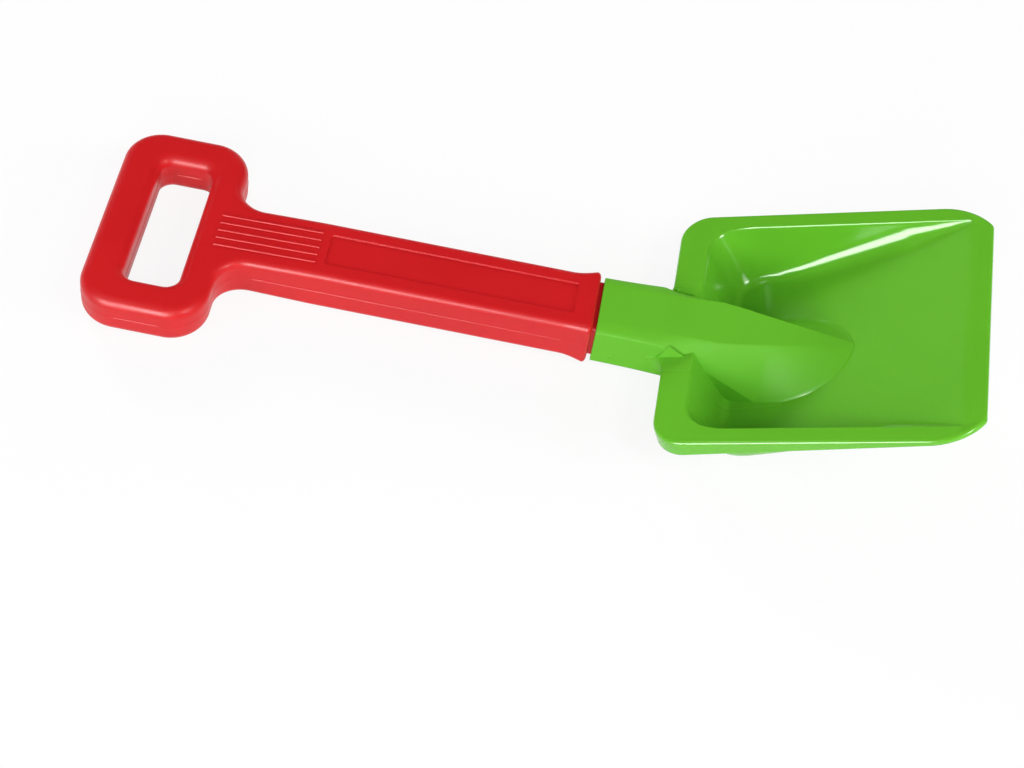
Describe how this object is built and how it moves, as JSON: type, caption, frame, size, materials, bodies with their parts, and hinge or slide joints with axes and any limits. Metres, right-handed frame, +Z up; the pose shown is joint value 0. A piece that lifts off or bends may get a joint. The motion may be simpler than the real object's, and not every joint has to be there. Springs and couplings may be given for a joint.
{
  "type": "sand shovel",
  "caption": "Child's sand shovel: a square scoop with a raised rim and a socket that runs into it as a tongue, pushed onto the plug of a D-grip handle.",
  "frame": {"origin": "centre of the bounding box in plan, on the ground that the shovel lies on", "axes": "+X along the shovel from the grip to the scoop's front edge, +Y across it, +Z up with the scoop's hollow upwards"},
  "size_m": [0.3598, 0.1226, 0.063],
  "materials": {
    "handle_plastic": "semi-gloss blow-moulded polyethylene, red",
    "blade_plastic": "gloss injection-moulded polypropylene, green"
  },
  "bodies": {
    "handle": {"handle": "handle_plastic"},
    "blade": {"blade": "blade_plastic"}
  },
  "joints": [
    {"name": "blade_pull", "type": "slide", "parent": "handle", "child": "blade", "axis": [0.9998, 0, 0.0195], "range_m": [0, 0.045]}
  ]
}
